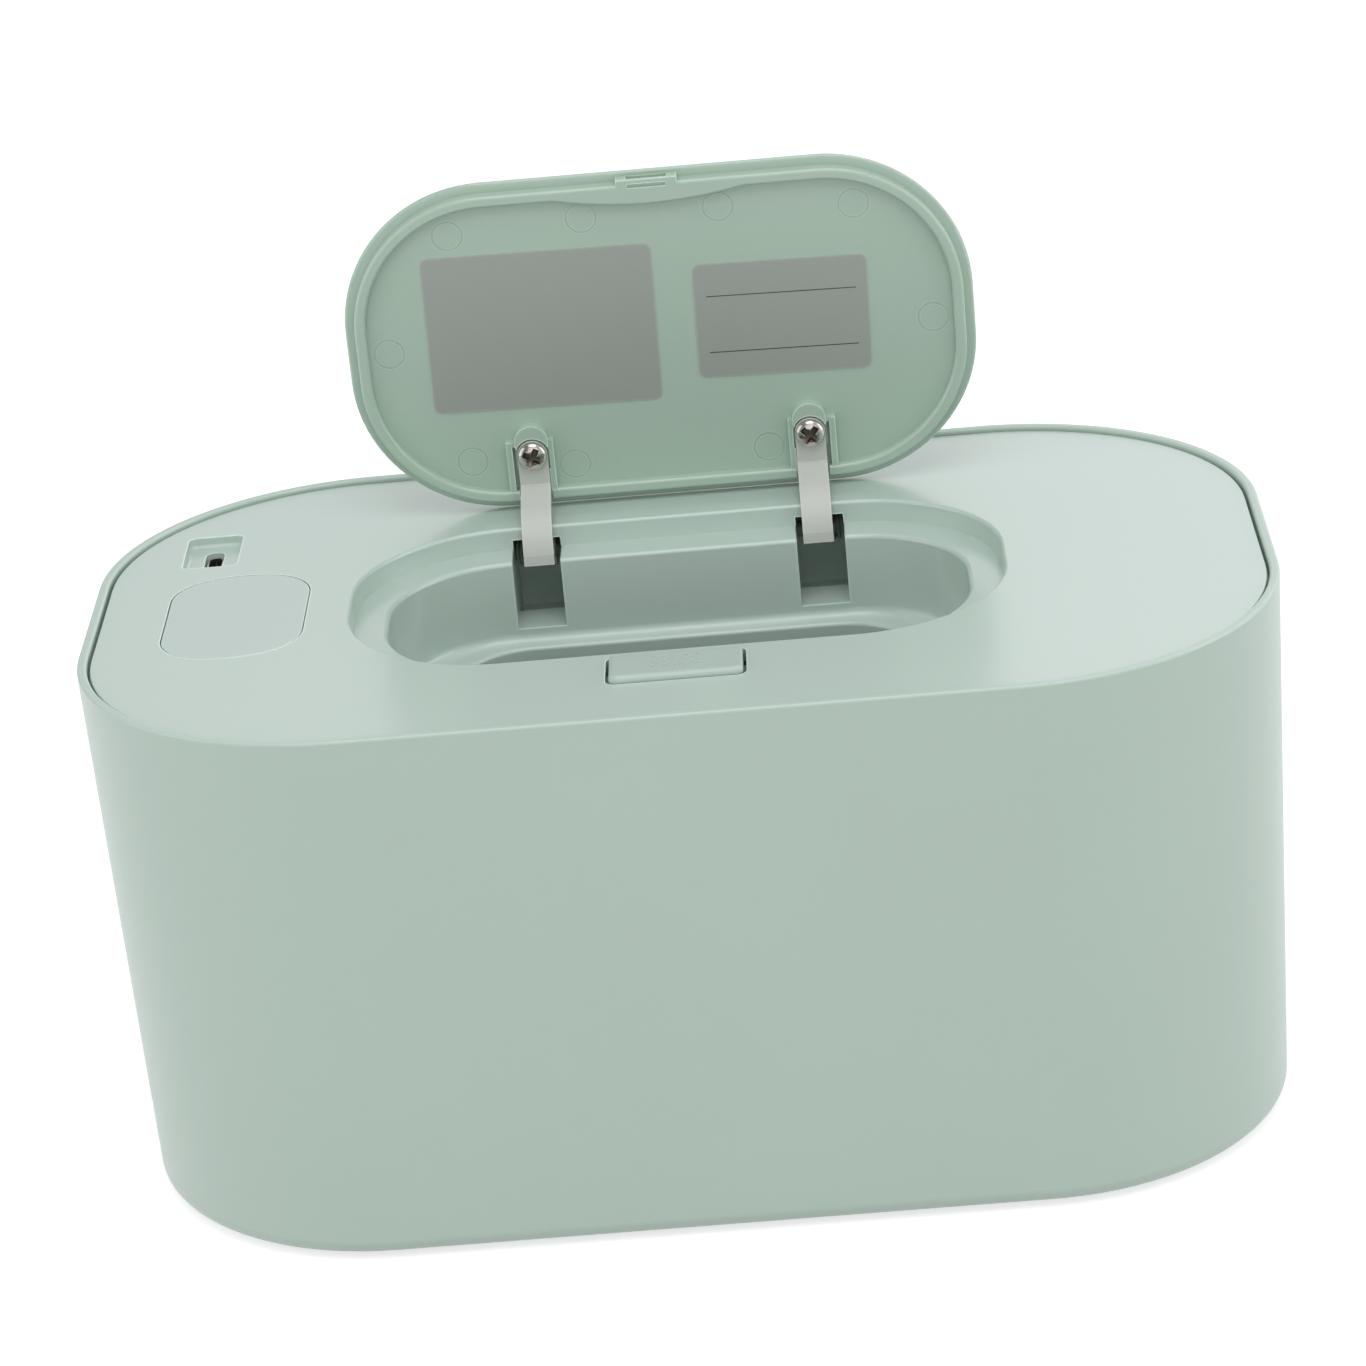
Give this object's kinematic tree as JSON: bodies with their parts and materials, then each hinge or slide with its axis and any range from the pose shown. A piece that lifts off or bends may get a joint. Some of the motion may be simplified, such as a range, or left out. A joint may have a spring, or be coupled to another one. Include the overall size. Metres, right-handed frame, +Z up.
{
  "type": "baby wipe warmer",
  "caption": "Tapered rounded tub with a recessed top, a sprung oval flap lid on two gooseneck arms, a push-button latch, a touch window and a small power inlet.",
  "frame": {"origin": "centre of the footprint at the underside of the rubber feet", "axes": "+X along the body towards its right end, +Y towards the hinge side, +Z up"},
  "size_m": [0.22, 0.135, 0.1703],
  "materials": {
    "casing_plastic": "semi-gloss moulded sage green",
    "panel_plastic": "polished sage green",
    "window_plastic": "polished translucent sage green",
    "lid_plastic": "semi-gloss moulded sage green",
    "arm_plastic": "matt off-white",
    "tray_plastic": "matt off-white",
    "rubber": "matt dark grey",
    "aluminium_sheet": "mill finish",
    "foil_film": "amber film",
    "insulation": "white felt",
    "board_laminate": "green solder mask",
    "display_black": "matt black",
    "conductive_foam": "dark grey foam",
    "steel": "nickel plated",
    "spring_steel": "bright drawn wire",
    "wire_insulation": "red sleeve",
    "sensor_resin": "black resin",
    "mechanism_plastic": "natural white",
    "label_film": "matt grey, blank"
  },
  "bodies": {
    "base": {"casing": "casing_plastic", "rubber_feet": "rubber"},
    "cover": {"top_panel": "panel_plastic", "touch_window": "window_plastic", "under_tray": "tray_plastic", "heater_plate": "aluminium_sheet", "heater_foil": "foil_film", "insulation_pad": "insulation", "temperature_sensor": "sensor_resin", "thermal_cutout": "sensor_resin", "heater_leads": "wire_insulation", "sensor_leads": "wire_insulation", "circuit_board": "board_laminate", "display_module": "display_black", "touch_electrode": "conductive_foam", "inlet_socket": "steel", "inlet_tongue": "display_black", "hinge_pin_left": "steel", "hinge_pin_right": "steel", "hinge_spring_left": "spring_steel", "hinge_spring_right": "spring_steel", "button_cage": "mechanism_plastic", "button_spring": "spring_steel", "tray_screws": "steel", "board_screws": "steel", "cage_screws": "steel"},
    "lid": {"lid": "lid_plastic", "hinge_arm_left": "arm_plastic", "hinge_arm_right": "arm_plastic", "arm_screws": "steel", "label_large": "label_film", "label_small": "label_film"},
    "button": {"release_button": "panel_plastic"},
    "latch": {"latch_slider": "mechanism_plastic"}
  },
  "joints": [
    {"name": "cover_lift", "type": "slide", "parent": "base", "child": "cover", "axis": [0, 0, 1], "range_m": [0, 0.06]},
    {"name": "lid_hinge", "type": "hinge", "parent": "cover", "child": "lid", "pos_m": [0, 0.03946, 0.0962], "axis": [1, 0, 0], "range_deg": [0, 86.5], "stiffness_Nm_per_rad": 0.006, "springref_deg": -91.67},
    {"name": "button_press", "type": "slide", "parent": "cover", "child": "button", "axis": [0, 0, -1], "range_m": [0, 0.0015], "stiffness_N_per_m": 400, "springref_m": -0.0005, "deforming": ["button_spring"]},
    {"name": "latch_slide", "type": "slide", "parent": "cover", "child": "latch", "axis": [0, -1, 0], "range_m": [0, 0.0015]}
  ],
  "couplings": [
    {"joint": "latch_slide", "follows": "button_press", "ratio": 1}
  ]
}
